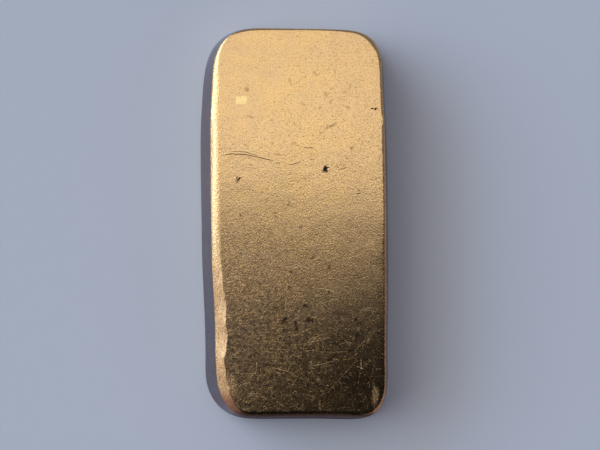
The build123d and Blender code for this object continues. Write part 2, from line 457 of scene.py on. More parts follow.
# ------------------------------------------------------------------------------------------------------------
# Marks on the face, in millimetres
# ------------------------------------------------------------------------------------------------------------
# lines: points, half width, depth, torn metal that also gets a painted glint (0 to 1), stain (0 to 1)
LINES = [
    ([(-7.96, 6.95), (-6.83, 7.13), (-5.5, 7.06), (-4.17, 6.80), (-2.43, 6.38)], 0.05, 0.0075, 0, 0.40),
    ([(-7.0, 7.36), (-6.2, 7.40), (-5.3, 7.28), (-4.5, 7.02), (-3.7, 6.80)], 0.045, 0.004, 0, 0.25),
    ([(-0.99, 6.05), (-0.48, 6.1), (0.24, 6.36)], 0.045, 0.0055, 0, 0.45),
    ([(0.24, 6.36), (0.30, 6.75)], 0.045, 0.003, 0, 0.25),
    ([(0.45, 7.8), (1.07, 7.77), (1.68, 7.8)], 0.045, 0.005, 0, 0.35),
    ([(-0.4, 8.1), (0.45, 7.85)], 0.045, 0.0025, 0, 0.25),
    ([(-1.2, -5.85), (-1.3, -7.39), (-1.4, -9.03)], 0.05, 0.003, 0.9, 0),
    ([(-5.6, -12.62), (-3.66, -12.71), (-0.07, -12.94)], 0.045, 0.0016, 0.45, 0),
    ([(0.3, -12.92), (3.54, -13.17), (5.6, -13.02)], 0.045, 0.0014, 0.40, 0),
    ([(-6.6, -17.2), (-6.35, -16.85), (-6.0, -16.5), (-5.55, -16.28), (-5.0, -16.18)], 0.05, 0.003, 1.2, 0),
    ([(-4.28, -14.14), (-4.48, -15.57)], 0.045, 0.003, 1.0, 0),
    ([(6.44, -13.8), (6.44, -14.83), (6.85, -14.99)], 0.045, 0.003, 1.2, 0),
    ([(-0.68, -14.16), (-1.3, -15.29)], 0.045, 0.003, 0.7, 0),
    ([(2.2, -17.99), (2.05, -18.7), (2.41, -19.28)], 0.045, 0.003, 0.8, 0),
    ([(6.95, -17.72), (6.54, -18.44)], 0.05, 0.003, 0.7, 0),
    ([(5.9, -14.6), (6.6, -14.85)], 0.045, 0.003, 0.9, 0),
    ([(8.50, 7.1), (8.38, 6.6), (8.34, 5.9)], 0.07, 0.004, 1.3, 0), ([(6.10, 3.05), (6.22, 2.6)], 0.07, 0.004, 1.4, 0),
    ([(-6.42, 6.4), (-6.30, 6.1), (-6.25, 5.8)], 0.05, 0.003, 1.2, 0),
    ([(-6.62, 6.1), (-6.50, 5.75)], 0.045, 0.003, 1.0, 0), ([(5.9, 3.02), (6.45, 3.15)], 0.05, 0.006, 0, 0.5),
]
# pits: X, Y, half length, half width, turn in degrees, depth
PITS = [
    (2.79, 5.65, 0.26, 0.20, 35, 0.16), (2.95, 5.45, 0.12, 0.10, 0, 0.08), (2.73, 5.90, 0.10, 0.08, 80, 0.06),
    (-6.12, 4.60, 0.24, 0.09, 40, 0.14), (-6.30, 4.72, 0.12, 0.06, 60, 0.05),
    (7.95, 11.85, 0.14, 0.08, 10, 0.10), (7.65, 11.90, 0.16, 0.04, 15, 0.03),
]
# short nicks, painted paler so they show as bright glints on the dark half: X, Y, length, width, turn, torn metal and
# painted glint
NICKS = [
    (-2.35, -13.96, 0.70, 0.34, 62, 0.8), (2.19, -18.54, 0.60, 0.12, 108, 0.7), (3.30, -14.95, 0.42, 0.14, 40, 1.0),
    (1.99, -15.99, 0.52, 0.25, 176, 0.9), (6.17, -10.81, 0.47, 0.18, 64, 0.9), (7.20, -11.88, 0.47, 0.33, 41, 0.9),
    (1.27, -14.25, 0.39, 0.23, 94, 0.8), (3.34, -10.69, 0.73, 0.18, 171, 0.5), (-3.31, -2.76, 0.70, 0.24, 44, 0.6),
    (-1.49, -15.11, 0.50, 0.14, 59, 0.9), (-4.77, -10.78, 0.61, 0.28, 75, 0.5), (1.69, -11.75, 0.25, 0.15, 60, 1.5),
    (-2.57, -15.80, 0.53, 0.11, 90, 0.9), (-4.13, -10.11, 0.59, 0.14, 74, 0.6), (0.92, -9.51, 0.51, 0.12, 30, 0.9),
    (-1.70, -17.55, 0.35, 0.16, 11, 0.8), (4.24, -6.93, 0.43, 0.21, 24, 0.5), (-4.72, -15.47, 0.44, 0.11, 85, 0.8),
    (-5.55, -7.47, 0.33, 0.20, 26, 0.6), (6.98, -14.41, 0.26, 0.16, 18, 1.0), (-4.48, -6.41, 0.44, 0.17, 51, 0.5),
    (7.64, -9.08, 0.37, 0.12, 20, 0.9), (-0.35, -6.07, 0.67, 0.17, 76, 0.4), (5.68, -11.78, 0.27, 0.13, 56, 1.1),
    (4.56, -9.76, 0.61, 0.15, 128, 0.5), (-0.89, -9.73, 0.25, 0.15, 70, 0.9), (0.38, -11.04, 0.26, 0.16, 102, 0.8),
    (-0.16, -18.35, 0.30, 0.17, 141, 0.8), (-6.42, -5.38, 0.38, 0.23, 36, 0.5), (-1.37, -5.85, 0.63, 0.14, 62, 0.5),
    (0.07, -12.10, 0.27, 0.14, 71, 0.8), (-1.03, -10.76, 0.35, 0.16, 140, 0.6), (2.41, -17.52, 0.48, 0.12, 39, 0.8),
    (0.48, -8.81, 0.22, 0.16, 91, 0.9), (-3.23, -17.15, 0.20, 0.17, 133, 0.9), (-0.97, -14.24, 0.27, 0.13, 55, 0.9),
    (1.49, -12.97, 0.20, 0.17, 139, 0.9), (-3.73, -6.93, 0.31, 0.18, 47, 0.5), (4.40, -15.42, 0.27, 0.13, 33, 0.8),
    (-5.79, -3.37, 0.39, 0.29, 80, 0.4), (-6.31, -9.51, 0.26, 0.16, 71, 0.5), (7.89, -16.95, 1.40, 0.22, 112, 0.9),
    (7.45, -11.50, 1.20, 0.50, 60, 0.35), (-1.9, -4.2, 0.9, 0.12, 58, 0.4), (-3.9, -8.7, 1.5, 0.10, 60, 0.35),
    (5.2, -17.3, 1.3, 0.11, 150, 0.5), (-6.7, -15.2, 0.6, 0.12, 30, 0.5), (6.23, 3.05, 0.42, 0.20, 43, 1.0),
]
# brown or dark spots and dashes: X, Y, length, width, turn, stain
SPOTS = [
    (3.30, 10.05, 1.06, 0.20, 25, 0.40), (-5.29, 13.78, 0.50, 0.32, 96, 0.38), (4.55, 5.68, 0.53, 0.17, 18, 0.42),
    (-0.49, 8.24, 0.53, 0.22, 11, 0.25), (5.05, 11.98, 0.35, 0.19, 155, 0.35), (-0.89, 14.65, 0.48, 0.20, 116, 0.28),
    (-5.01, 11.02, 0.49, 0.18, 170, 0.26), (-1.02, 2.04, 0.49, 0.19, 66, 0.35), (5.46, 7.75, 0.34, 0.22, 58, 0.42),
    (1.75, 15.46, 0.49, 0.22, 133, 0.22), (-2.82, 10.61, 0.35, 0.19, 22, 0.28), (-5.96, 0.91, 0.24, 0.15, 92, 0.5),
    (0.20, -0.36, 0.27, 0.13, 147, 0.5), (-2.70, 8.24, 0.37, 0.17, 168, 0.3), (-2.09, 7.11, 0.64, 0.12, 165, 0.3),
    (0.68, 4.62, 0.27, 0.15, 111, 0.35), (1.88, -1.10, 0.22, 0.13, 139, 0.55), (0.55, 12.26, 0.50, 0.15, 141, 0.22),
    (-2.36, 0.76, 0.29, 0.13, 148, 0.4), (-3.26, 2.49, 0.27, 0.16, 18, 0.32), (-5.42, 8.04, 0.53, 0.12, 162, 0.3),
    (3.37, 12.69, 0.34, 0.16, 55, 0.3), (6.15, 3.48, 0.28, 0.12, 0, 0.5), (3.72, 15.68, 0.36, 0.15, 103, 0.28),
    (5.30, 14.12, 0.25, 0.15, 91, 0.4), (2.26, 9.32, 0.22, 0.21, 92, 0.3), (2.24, 11.98, 0.36, 0.16, 51, 0.26),
    (2.80, 13.35, 0.33, 0.17, 89, 0.26), (-6.45, 7.06, 0.29, 0.12, 0, 0.45), (-4.86, 5.99, 0.20, 0.17, 43, 0.35),
    (3.99, 5.86, 0.32, 0.12, 151, 0.4), (4.82, 13.63, 0.26, 0.14, 179, 0.33), (-2.46, 1.12, 0.29, 0.12, 0, 0.4),
    (1.02, 0.54, 0.32, 0.12, 151, 0.4), (1.33, 6.58, 0.31, 0.12, 152, 0.38), (-2.06, 6.22, 0.26, 0.15, 176, 0.3),
    (-1.48, -9.96, 0.55, 0.30, 37, 1.0), (-0.25, -10.48, 0.80, 0.30, 98, 0.9), (1.11, -9.87, 0.62, 0.38, 176, 0.85),
    (0.67, -8.38, 0.34, 0.26, 3, 0.8), (6.04, -11.47, 0.36, 0.22, 45, 1.0), (3.30, -13.97, 0.38, 0.18, 13, 0.9),
    (-1.48, -10.96, 0.30, 0.20, 89, 0.9), (5.87, -9.94, 0.51, 0.15, 61, 0.8), (5.35, -13.05, 0.43, 0.18, 13, 0.9),
    (3.11, -4.49, 0.41, 0.23, 93, 0.5), (-4.95, -13.64, 0.28, 0.18, 71, 0.8), (-0.84, -4.95, 0.30, 0.22, 153, 0.6),
    (1.43, -3.49, 0.47, 0.17, 31, 0.45), (3.11, -7.02, 0.32, 0.17, 90, 0.55), (-1.00, -6.52, 0.27, 0.18, 19, 0.65),
    (-2.92, -9.88, 0.20, 0.18, 44, 0.6), (-3.94, -6.20, 0.18, 0.18, 133, 0.5), (4.30, -7.74, 0.39, 0.14, 90, 0.5),
]


def to_line(p, line):
    """Distance from points p (n, 2) to a polyline, and how far along it the nearest point is, 0 to 1."""
    line = np.asarray(line, float)
    seg = np.linalg.norm(np.diff(line, axis=0), axis=1)
    begin = np.concatenate([[0], np.cumsum(seg)])
    best, along = np.full(len(p), 1e9), np.zeros(len(p))
    for a, b, length, first in zip(line, line[1:], seg, begin):
        t = np.clip(((p - a) @ (b - a)) / length**2, 0, 1)
        d = np.linalg.norm(p - (a + t[:, None] * (b - a)), axis=1)
        near = d < best
        best[near], along[near] = d[near], (first + t[near] * length) / begin[-1]
    return best, along


def oval(p, x, y, length, width, turn, seed):
    """How far points p are inside an uneven oval mark: 1 in its middle, 0 outside."""
    c, s = math.cos(math.radians(turn)), math.sin(math.radians(turn))
    dx, dy = p[:, 0] - x, p[:, 1] - y
    sel = np.flatnonzero((abs(dx) < 0.8 * length + 0.1) & (abs(dy) < 0.8 * length + 0.1))
    u = (dx[sel] * c + dy[sel] * s) / (0.5 * length)
    v = (-dx[sel] * s + dy[sel] * c) / (0.5 * width)
    wob = 1 + 0.9 * noise(np.column_stack([p[sel] * 5, np.full(len(sel), seed * 1.7)]), 13)
    return sel, np.exp(-((np.hypot(u, v) * wob) ** 2))


def marks(p):
    """The face's marks at points p (n, 2): how deep, how dark in the pits, how torn with a painted glint, and how
    stained.
    """
    depth, pits_dark_and_painted_shade, torn_and_glint, stain = (np.zeros(len(p)) for _ in range(4))
    for line, w, deep, tear_and_glint, brown in LINES:
        lo, hi = np.min(line, 0) - 0.5, np.max(line, 0) + 0.5
        sel = np.flatnonzero(((p > lo) & (p < hi)).all(1))
        if not len(sel):
            continue
        d, along = to_line(p[sel], line)
        ends = smooth(along, -0.02, 0.12) * smooth(along, 1.02, 0.85)
        ends *= np.clip(0.85 + 0.9 * noise(np.column_stack([along * 9, along * 0, np.full(len(along), w * 99)]), 14), 0.2, 1)
        depth[sel] += deep * ends * np.exp(-((d / w) ** 2))
        depth[sel] -= 0.25 * deep * ends * np.exp(-(((d - 2.1 * w) / w) ** 2))
        core = ends * np.exp(-((d / w) ** 2))
        torn_and_glint[sel] = np.maximum(torn_and_glint[sel], tear_and_glint * core)
        stain[sel] = np.maximum(stain[sel], 1.4 * brown * core)
    for x, y, a, b, turn, deep in PITS:
        c, s = math.cos(math.radians(turn)), math.sin(math.radians(turn))
        dx, dy = p[:, 0] - x, p[:, 1] - y
        sel = np.flatnonzero((abs(dx) < 4 * a) & (abs(dy) < 4 * a))
        if not len(sel):
            continue
        u, v = (dx[sel] * c + dy[sel] * s) / a, (-dx[sel] * s + dy[sel] * c) / b
        wob = 1 + 0.5 * noise(np.column_stack([p[sel] * 6, np.full(len(sel), turn * 0.1)]), 11)
        r = np.hypot(u, v) * wob
        depth[sel] += deep * (1 - smooth(r, 0.45, 1.15))
        depth[sel] -= 0.06 * deep * np.exp(-(((r - 1.35) / 0.25) ** 2))
        pits_dark_and_painted_shade[sel] = np.maximum(pits_dark_and_painted_shade[sel], 1 - smooth(r, 0.6, 1.1))
    for k, (x, y, length, width, turn, tear_and_glint) in enumerate(NICKS):
        sel, inside = oval(p, x, y, length, width, turn, k)
        depth[sel] += 0.0015 * inside
        torn_and_glint[sel] = np.maximum(torn_and_glint[sel], (0.72 if x > -2 else 0.9) * tear_and_glint * inside)
    for k, (x, y, length, width, turn, brown) in enumerate(SPOTS):
        sel, inside = oval(p, x, y, length * 1.15, width * 1.25, turn, k + 60)
        depth[sel] += 0.0015 * inside
        inside = smooth(inside, 0.05, 0.70)
        stain[sel] = np.maximum(stain[sel], (2.0 if y > -3 else 1.0) * brown * np.minimum(1, 1.3 * inside))
    return depth, pits_dark_and_painted_shade, torn_and_glint, stain


def closeness(p, small):
    """Distance from points p to the nearest mark that needs a finer skin."""
    d = np.full(len(p), 1e9)
    for line, *_ in LINES:
        d = np.minimum(d, to_line(p, line)[0] + (0 if small else 0.04))
    for x, y, a, b, turn, deep in PITS:
        d = np.minimum(d, np.maximum(np.hypot(p[:, 0] - x, p[:, 1] - y) - a, 0))
    if small:
        for x, y, length, width, turn, _ in NICKS + SPOTS:
            c, s = 0.4 * length * math.cos(math.radians(turn)), 0.4 * length * math.sin(math.radians(turn))
            d = np.minimum(d, to_line(p, [(x - c, y - s), (x + c, y + s)])[0] + 0.12)
    return d


def refine(quads, near, clear_of):
    """Splits the quads within near of a mark into four. Quads beside them become fans of triangles."""
    global co, out, kind, worn, unrolled, below
    centre = co[quads].mean(1)
    flag = (closeness(centre[:, :2], near > 0.2) < near) & ~np.isin(quads, clear_of).any(1)
    a, b = quads, np.roll(quads, -1, axis=1)
    keys = np.minimum(a, b).astype(np.int64) * 4000000 + np.maximum(a, b)
    split = np.unique(keys[flag])
    first = len(co)
    lo, hi = split // 4000000, split % 4000000
    hit = np.isin(keys, split)
    fan = ~flag & hit.any(1)
    mid = first + np.searchsorted(split, keys)
    centre_of = first + len(split) + np.cumsum(flag | fan) - 1
    more = flag | fan
    co = np.vstack([co, (co[lo] + co[hi]) / 2, centre[more]])
    out = np.vstack([out, out[lo] + out[hi], out[quads[more]].sum(1)])
    out[first:] /= np.linalg.norm(out[first:], axis=1)[:, None]
    kind = np.concatenate([kind, np.minimum(kind[lo], kind[hi]), kind[quads[more]].min(1)])
    worn = np.concatenate([worn, (worn[lo] + worn[hi]) / 2, worn[quads[more]].mean(1)])
    unrolled = np.vstack([unrolled, (unrolled[lo] + unrolled[hi]) / 2, unrolled[quads[more]].mean(1)])
    below = np.vstack([below, np.full((len(co) - first, 2), np.nan)])
    q, m, c = quads[flag], mid[flag], centre_of[flag]
    fine = np.vstack([np.column_stack([q[:, k], m[:, k], c, m[:, k - 1]]) for k in range(4)])
    tris = []
    for k in range(4):
        q, m, c, h = quads[fan], mid[fan], centre_of[fan], hit[fan][:, k]
        here, after = q[:, k], q[:, (k + 1) % 4]
        tris.append(np.column_stack([here, after, c])[~h])
        tris.append(np.column_stack([here, m[:, k], c])[h])
        tris.append(np.column_stack([m[:, k], after, c])[h])
    return quads[~flag & ~fan], fine, np.vstack(tris)


plain_1, fine_1, fans_1 = refine(face_quads, 0.30, face_ring)
plain_2, fine_2, fans_2 = refine(fine_1, 0.15, np.concatenate([fans_1.ravel(), plain_1.ravel()]))
all_quads = np.vstack([plain_1, plain_2, fine_2, base_quads] + quads)
all_tris = np.vstack([fans_1, fans_2] + tris)
print("face", len(plain_1), len(plain_2), len(fine_2), "triangles in all", 2 * len(all_quads) + len(all_tris))

# ------------------------------------------------------------------------------------------------------------
# Relief: how far each vertex lies inside the solid's surface, along its outward way
# ------------------------------------------------------------------------------------------------------------
xy = co[:, :2]
deep = np.zeros(len(co))
up = out[:, 2]
on_face = (kind == 0) | np.isin(np.arange(len(co)), face_ring)
side_way = np.degrees(np.arctan2(out[:, 1], out[:, 0])) % 360

mark_depth, pits_dark_and_painted_shade, torn_and_glint, stain = marks(xy)
for field in (mark_depth, pits_dark_and_painted_shade, torn_and_glint, stain):
    field[~on_face] = 0

# the face: long shallow ripples, a finer unevenness on them
deep += 0.015 + 0.016 * noise(co / 7.5, 21) + 0.0045 * noise(co / 2.3, 22)
deep += 0.0013 * noise(co / 0.8, 23)
deep += mark_depth
# towards the right edge's near half the face rolls off a little
roll = np.clip((xy[:, 0] - 7.85) / 0.95, 0, 1.15) ** 2 * smooth(xy[:, 1], 1.0, -4.0) * smooth(xy[:, 1], -19.5, -17.5)
deep += 0.020 * roll * np.clip(up, 0, 1) * ((kind == 0) | (kind == 1))

# beside the worn flat's near end the face rolls off to the flat
rub_off, rub_along = to_line(xy, [(-7.38, -14.2), (-6.98, -16.2), (-6.05, -18.2)])
rub_ends = smooth(rub_along, 0.0, 0.45) * smooth(rub_along, 0.92, 0.55)
rub = np.exp(-((rub_off / 0.50) ** 2)) * rub_ends
deep += 0.030 * np.clip(1 - rub_off / 0.75, 0, 1) ** 2 * rub_ends * np.clip(up, 0, 1) * ((kind == 0) | (kind == 1))

# walls as cast: slow swells, small sinks
wall = smooth(up, 0.6, 0.25) * (kind != 4)
deep += wall * (0.03 + 0.045 * noise(co / np.array([6.0, 6.0, 3.5]), 31) + 0.012 * noise(co / 1.7, 32))
sinks = noise(co / 0.9, 33)
deep += wall * 0.03 * smooth(sinks, 0.28, 0.55)

# the worn flat: fine streaks along it, rougher towards its foot
strip = worn * smooth(up, 0.99, 0.93) * smooth(up, 0.5, 0.75)
deep += strip * 0.0022 * noise(np.column_stack([(co[:, 0] + co[:, 2]) / 0.17, co[:, 1] / 2.6, co[:, 2] * 0]), 41)
deep += strip * smooth(up, 0.88, 0.80) * 0.006 * noise(co / 0.24, 42)

# corners and edges that took knocks
def knock(x, y, z, r, amount, grain, seed):
    d = np.linalg.norm((co - (x, y, z)) / r, axis=1)
    return smooth(d, 1.0, 0.3) * amount * (0.5 + noise(co / grain, seed))


edge = (kind == 1) | (kind == 2)
deep += edge * knock(8.6, -18.9, 6.4, 2.0, 0.030, 0.33, 51)
deep += edge * knock(-7.6, 18.6, 6.5, 1.8, 0.016, 0.30, 52)
deep += edge * knock(8.9, 4.0, 6.6, 4.5, 0.010, 0.22, 53)
deep += edge * knock(9.0, -4.0, 6.3, 3.0, 0.012, 0.5, 55)

# the hidden pour side: a shallow dish with cast ripples
under = kind == 4
reach = smooth(np.hypot(xy[:, 0] / 9.3, xy[:, 1] / 20.2), 1.0, 0.3)
deep[under] = 0.002 + reach[under] * (0.05 + 0.02 * noise(co[under] / 3.0, 61) + 0.006 * noise(co[under] / 0.9, 62))
deep = np.maximum(deep, 0.0)
co_flat = co.copy()
co = co - out * deep[:, None]

# ------------------------------------------------------------------------------------------------------------
# What the finish reads from the mesh: tarnish, dark pits, wear, and painted shade on the near walls, all 0 to 1
# ------------------------------------------------------------------------------------------------------------
edge_up = smooth(up, 0.995, 0.97) * (kind != 4) * smooth(up, 0.05, 0.25)
blot = 0.5 + 0.9 * noise(co / 0.9, 71) + 0.5 * noise(co / 0.35, 72)
tarnish_and_painted_shade = np.zeros(len(co))
near_left = smooth(side_way, 196, 214) * smooth(side_way, 285, 255)
tarnish_and_painted_shade = np.maximum(tarnish_and_painted_shade, edge_up * near_left * 0.95)
far_left = smooth(side_way, 92, 104) * smooth(side_way, 140, 124) * smooth(up, 0.97, 0.80)
tarnish_and_painted_shade = np.maximum(tarnish_and_painted_shade, far_left * 0.8 * (kind != 4) * smooth(up, 0.16, 0.45))
right = smooth(np.abs((side_way + 180) % 360 - 180), 40, 15) * smooth(co[:, 1], 2.0, -5.0) * edge_up
tarnish_and_painted_shade = np.maximum(tarnish_and_painted_shade, right * 0.55)
near_right = smooth(side_way, 285, 300) * smooth(side_way, 352, 335) * edge_up
tarnish_and_painted_shade = np.maximum(tarnish_and_painted_shade, near_right * 0.45)
# the near wall painted brown: painted shade for the dark surroundings it mirrors
near_wall_painted_brown = smooth(side_way, 240, 262) * smooth(side_way, 310, 290) * (kind != 4) * smooth(up, 0.97, 0.80)
tarnish_and_painted_shade = np.maximum(tarnish_and_painted_shade, near_wall_painted_brown * 0.75)
tarnish_and_painted_shade = np.clip(tarnish_and_painted_shade * (0.65 + 0.7 * np.clip(blot, 0, 1)), 0, 1)

# the near wall painted near-black: painted shade, added to the darkening in the pits
near_wall_painted_dark = smooth(side_way, 236, 262) * smooth(side_way, 312, 288) * (kind != 4) * smooth(up, 0.97, 0.75)
pits_dark_and_painted_shade = np.maximum(pits_dark_and_painted_shade, 0.72 * near_wall_painted_dark)

off_wall = edge_up * smooth(up, 0.24, 0.44)
left_band = off_wall * smooth(side_way, 118, 145) * smooth(side_way, 215, 195) * (1 - worn)
scuff = worn * off_wall * smooth(up, 0.93, 0.82)
corner_off = np.linalg.norm((co - (8.5, -19.0, 6.5)) / (2.6, 2.6, 1.5), axis=1)
scuff = np.maximum(scuff, edge_up * smooth(corner_off, 1.1, 0.5))
scuff = np.maximum(scuff, 0.6 * edge_up * smooth(co[:, 0], 8.0, 8.6) * smooth(co[:, 1], 9.5, 6.0))
corner_off = np.linalg.norm((co - (7.95, -17.9, 6.8)) / (0.5, 1.5, 1.5), axis=1)
scuff = np.maximum(scuff, 0.40 * smooth(corner_off, 1.15, 0.4))
scuff = np.maximum(scuff, 0.85 * rub * on_face)
walls = smooth(up, 0.45, 0.25) * (kind != 4)

wear = 0.25 + 0.75 * smooth(co[:, 1], 7.0, -6.0)
wear = np.where(kind == 4, 0.3, wear)

# ------------------------------------------------------------------------------------------------------------
# The mesh
# ------------------------------------------------------------------------------------------------------------
widest = outline(dense)[0][:, :2]
co[:, :2] -= (widest.min(0) + widest.max(0)) / 2
low, high = (np.array(c) * 1000 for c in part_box("ingot"))
co = np.clip(co, low + 2e-4, high - 2e-4)

tri_loops = all_tris.ravel()
quad_loops = all_quads.ravel()
loops = np.concatenate([quad_loops, tri_loops]).astype(np.int32)
sizes = np.concatenate([np.full(len(all_quads), 4), np.full(len(all_tris), 3)]).astype(np.int32)
starts = np.concatenate([[0], np.cumsum(sizes)[:-1]]).astype(np.int32)

mesh = bpy.data.meshes.new("cast_skin")
mesh.vertices.add(len(co))
mesh.vertices.foreach_set("co", (co / 1000).astype(np.float32).ravel())
mesh.loops.add(len(loops))
mesh.loops.foreach_set("vertex_index", loops)
mesh.polygons.add(len(sizes))
mesh.polygons.foreach_set("loop_start", starts)
mesh.update(calc_edges=True)
mesh.validate()
mesh.polygons.foreach_set("use_smooth", np.ones(len(mesh.polygons), bool))

# a map for baking: the face with its edge laid flat round it, the base, and the four walls as strips
top_rings = len(edge_in) - 1
ring_part = np.concatenate([np.full(len(q), 0 if k < top_rings else 1) for k, q in enumerate(quads)])
face_part = np.concatenate([
    np.zeros(len(plain_1) + len(plain_2) + len(fine_2), int), np.full(len(base_quads), 2), ring_part,
    np.zeros(len(fans_1) + len(fans_2), int), np.ones(sum(len(t) for t in tris), int),
])
loop_part = np.repeat(face_part, sizes)
around = below[loops, 0]
lowest = np.minimum.reduceat(around, starts)[np.repeat(np.arange(len(sizes)), sizes)]
highest = np.maximum.reduceat(around, starts)[np.repeat(np.arange(len(sizes)), sizes)]
around = np.where((highest - lowest > N / 2) & (around < N / 2), around + N, around)
middle = (np.add.reduceat(around, starts) / sizes)[np.repeat(np.arange(len(sizes)), sizes)]
bounds = np.cumsum([0, NU, NV, NU, NV])
perimeter = np.concatenate([[0.0], np.cumsum(np.linalg.norm(np.roll(point, -1, 0) - point, axis=1))])
MAP_SIDE, GAP = 42.9, 0.3
place = np.zeros((len(loops), 2))
sel = loop_part == 0
flat_low, flat_high = unrolled[loops[sel]].min(0), unrolled[loops[sel]].max(0)
place[sel] = unrolled[loops[sel]] - flat_low + GAP
right_of = flat_high[0] - flat_low[0] + 2 * GAP
strip_scale = 0.70
strip_high = float(np.nanmax(below[:, 1])) * strip_scale
corner_at = {1: (right_of, GAP), 3: (right_of + strip_high + GAP, GAP)}  # the long walls stand side by side
long_end = 0.0
for side in (1, 3):
    sel = (loop_part == 1) & (middle > bounds[side]) & (middle < bounds[side + 1])
    run_at = (np.interp(around[sel], np.arange(N + 1), perimeter) - perimeter[bounds[side]]) * strip_scale
    place[sel] = np.column_stack([below[loops[sel], 1] * strip_scale, run_at]) + corner_at[side]
    long_end = max(long_end, float(run_at.max()))
for row, side in enumerate((0, 2)):
    sel = (loop_part == 1) & (middle > bounds[side]) & (middle < bounds[side + 1])
    run_at = (np.interp(around[sel], np.arange(N + 1), perimeter) - perimeter[bounds[side]]) * strip_scale
    at = (right_of, long_end + 2 * GAP + row * (strip_high + GAP))
    place[sel] = np.column_stack([run_at, below[loops[sel], 1] * strip_scale]) + at
sel = loop_part == 2
base_left = right_of + 2 * strip_high + 2 * GAP
base_scale = (MAP_SIDE - GAP - base_left) / (base_xy.max(0) - base_xy.min(0))[0]
place[sel] = (co_flat[loops[sel], :2] - base_xy.min(0)) * base_scale + (base_left, GAP)
print("map", place.min(0).round(2), place.max(0).round(2), "of", MAP_SIDE, "base", round(float(base_scale), 2), "high", round(strip_high, 2))
if len(mesh.loops) == len(loops):
    layer = mesh.uv_layers.new(name="OFBake")
    layer.data.foreach_set("uv", (place / MAP_SIDE).astype(np.float32).ravel())


def attribute(name, values):
    layer = mesh.attributes.new(name, "FLOAT", "POINT")
    layer.data.foreach_set("value", values.astype(np.float32))


attribute("tarnish_and_painted_shade", tarnish_and_painted_shade)
attribute("pits_dark_and_painted_shade", pits_dark_and_painted_shade)
attribute("wear", wear)
attribute("flat_wear", worn * off_wall)
attribute("left_band", left_band)
attribute("scuff", scuff)
attribute("torn_and_glint", torn_and_glint)
attribute("stain", stain)
attribute("walls", walls)

cast = bpy.data.objects.new("cast_skin", mesh)
bpy.context.scene.collection.objects.link(cast)
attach(cast, "root")
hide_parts("ingot")


# ------------------------------------------------------------------------------------------------------------
# Node helpers
# ------------------------------------------------------------------------------------------------------------
class Nodes:
    def __init__(self, tree):
        self.tree = tree
        tree.nodes.clear()

    def put(self, kind, ins=None, **props):
        node = self.tree.nodes.new(kind)
        for name, value in props.items():
            setattr(node, name, value)
        for name, value in (ins or {}).items():
            socket = node.inputs[name]
            if isinstance(value, bpy.types.NodeSocket):
                self.tree.links.new(value, socket)
            else:
                socket.default_value = value
        return node

    def math(self, op, a, b=None, c=None, clamp=False):
        ins = {0: a}
        if b is not None:
            ins[1] = b
        if c is not None:
            ins[2] = c
        return self.put("ShaderNodeMath", ins, operation=op, use_clamp=clamp).outputs[0]

    def vmath(self, op, a, b=None, scale=None):
        ins = {0: a}
        if b is not None:
            ins[1] = b
        if scale is not None:
            ins["Scale"] = scale
        return self.put("ShaderNodeVectorMath", ins, operation=op).outputs[0]

    def ramp(self, value, a, b, lo=0.0, hi=1.0, kind="SMOOTHSTEP"):
        ins = {"Value": value, "From Min": a, "From Max": b, "To Min": lo, "To Max": hi}
        return self.put("ShaderNodeMapRange", ins, interpolation_type=kind).outputs["Result"]

    def mix(self, factor, a, b):
        node = self.put("ShaderNodeMix", data_type="RGBA")
        for socket, value in ((node.inputs[0], factor), (node.inputs[6], a), (node.inputs[7], b)):
            if isinstance(value, bpy.types.NodeSocket):
                self.tree.links.new(value, socket)
            else:
                socket.default_value = value
        return node.outputs[2]

    def noise(self, vector, scale, detail=2.0, rough=0.5, distort=0.0, out="Fac"):
        ins = {"Vector": vector, "Scale": scale, "Detail": detail, "Roughness": rough, "Distortion": distort}
        return self.put("ShaderNodeTexNoise", ins).outputs[out]

    def link(self, a, b):
        self.tree.links.new(a, b)


# ------------------------------------------------------------------------------------------------------------
# The metal. Lengths in its nodes are millimetres
# ------------------------------------------------------------------------------------------------------------
metal = bpy.data.materials.new("handled_gold")
metal.use_nodes = True
n = Nodes(metal.node_tree)
P = n.vmath("SCALE", n.put("ShaderNodeTexCoord").outputs["Object"], scale=1000.0)


def read(name):
    return n.put("ShaderNodeAttribute", attribute_name=name).outputs["Fac"]


A_tarnish_and_painted_shade, A_pits_dark_and_painted_shade, A_wear, A_flat = read("tarnish_and_painted_shade"), read("pits_dark_and_painted_shade"), read("wear"), read("flat_wear")
A_left, A_scuff, A_walls, A_torn_and_glint, A_stain = read("left_band"), read("scuff"), read("walls"), read("torn_and_glint"), read("stain")

# height of the fine relief: calmer towards the near end, and there stronger on the left than on the right
P_x, P_y, _ = n.put("ShaderNodeSeparateXYZ", {0: P}).outputs
leftward = n.math("MULTIPLY_ADD", n.math("MULTIPLY", P_x, n.math("SUBTRACT", A_wear, 0.25)), -0.085, 1.0)
calm = n.math("MULTIPLY", n.ramp(P_y, -4.5, -13.0, 0.0114, 0.0034), leftward)
calm = n.math("MULTIPLY", calm, n.math("MULTIPLY_ADD", A_wear, 0.28, 0.72))
grain = n.math("MULTIPLY", n.math("SUBTRACT", n.noise(n.vmath("MULTIPLY", P, (3.1, 0.95, 1.0)), 6.4, 1.5, 0.6), 0.5), calm)
coarse = n.math("MULTIPLY", n.math("SUBTRACT", n.noise(P, 1.5, 2.0, 0.6), 0.5), n.math("MULTIPLY", leftward, 0.0046))
height = n.math("ADD", grain, coarse)

